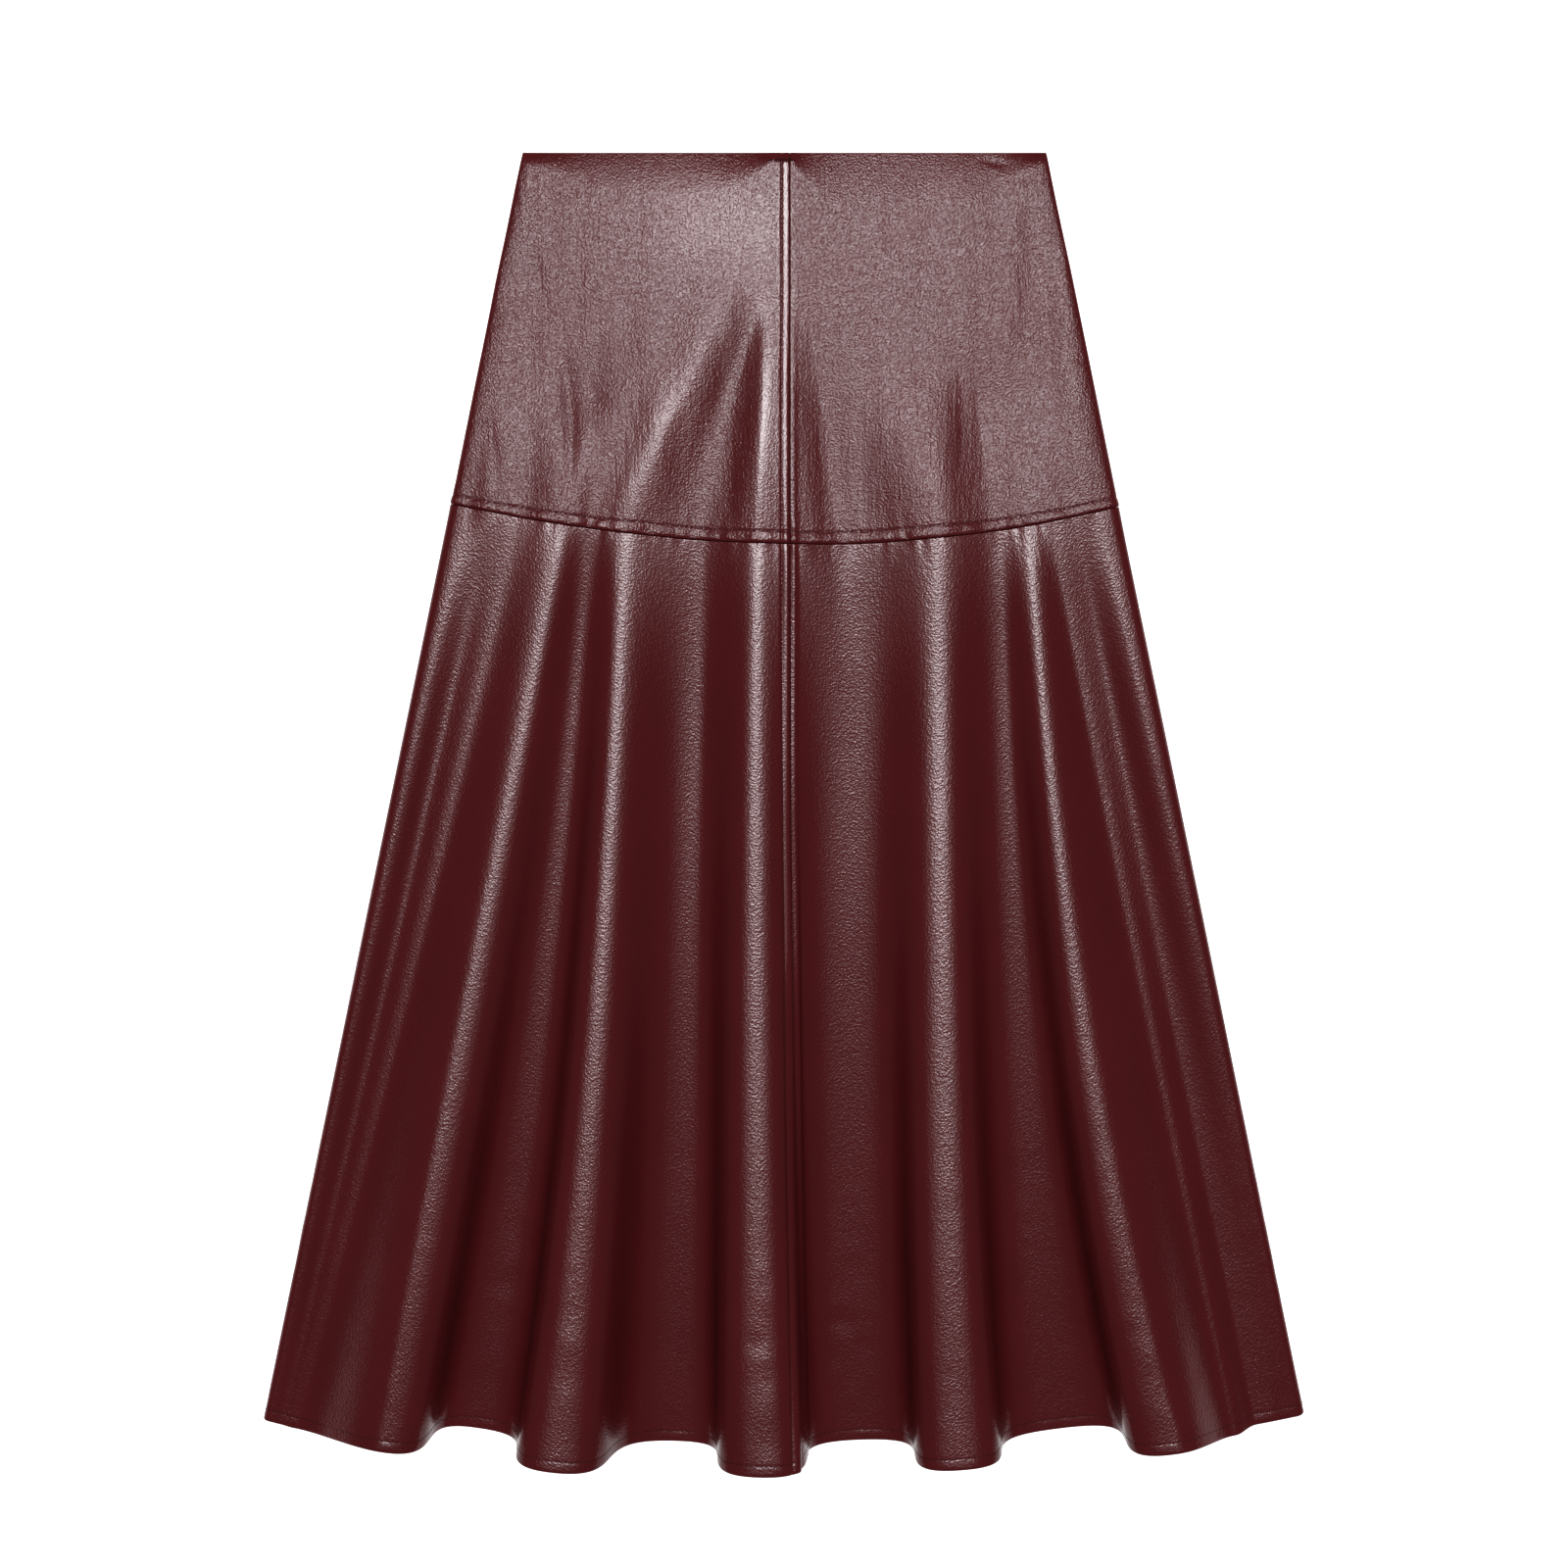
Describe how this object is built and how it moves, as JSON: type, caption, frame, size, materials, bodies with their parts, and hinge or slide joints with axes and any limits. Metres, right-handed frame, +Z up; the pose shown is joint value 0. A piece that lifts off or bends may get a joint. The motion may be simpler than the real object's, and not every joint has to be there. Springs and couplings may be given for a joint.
{
  "type": "leather skirt",
  "caption": "Flared midi skirt of soft coated leather with a fitted hip yoke, a curved yoke seam, a centre front seam and deep rounded folds, laid flat face up.",
  "frame": {"origin": "on the surface that the skirt lies on, under the middle of its outline", "axes": "+Z up, out of the front of the skirt; +Y from the hem towards the waist; +X to the right as the front is looked at"},
  "size_m": [0.6616, 0.8309, 0.0516],
  "materials": {
    "leather": "soft coated leather in dark oxblood red, fine pebble grain, satin sheen",
    "thread": "matching dark red sewing thread"
  },
  "bodies": {
    "root": {"front_yoke_left": "leather", "front_yoke_right": "leather", "front_skirt_left": "leather", "front_skirt_right": "leather", "back_yoke": "leather", "back_skirt": "leather"}
  },
  "joints": []
}
